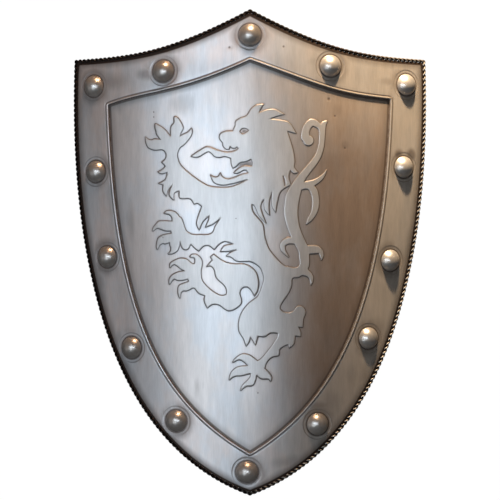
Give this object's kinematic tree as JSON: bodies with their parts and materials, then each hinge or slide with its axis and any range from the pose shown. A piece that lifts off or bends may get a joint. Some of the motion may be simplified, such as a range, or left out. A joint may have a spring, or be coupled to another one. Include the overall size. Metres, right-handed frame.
{
  "type": "heater shield",
  "caption": "Bent sheet-steel knight's shield with peaked top and pointed base, riveted border band, twisted wire edge and a rampant lion in low relief.",
  "frame": {"origin": "middle of the shield's outline, on the ground that its long side edges rest on", "axes": "+Z out of the face, +Y towards the peak of the top edge, +X to the right of someone who looks at the face"},
  "size_m": [0.5254, 0.7, 0.0935],
  "materials": {
    "plate_steel": "antiqued, streaked along its length",
    "band_steel": "antiqued, darker towards the edge",
    "rope_steel": "darkened twisted wire",
    "rivet_steel": "polished domes with dark rings"
  },
  "bodies": {
    "root": {"shield_plate": "plate_steel", "border_band": "band_steel", "rope_edge": "rope_steel", "rivet_01": "rivet_steel", "rivet_02": "rivet_steel", "rivet_03": "rivet_steel", "rivet_04": "rivet_steel", "rivet_05": "rivet_steel", "rivet_06": "rivet_steel", "rivet_07": "rivet_steel", "rivet_08": "rivet_steel", "rivet_09": "rivet_steel", "rivet_10": "rivet_steel", "rivet_11": "rivet_steel", "rivet_12": "rivet_steel", "rivet_13": "rivet_steel", "rivet_14": "rivet_steel"}
  },
  "joints": []
}
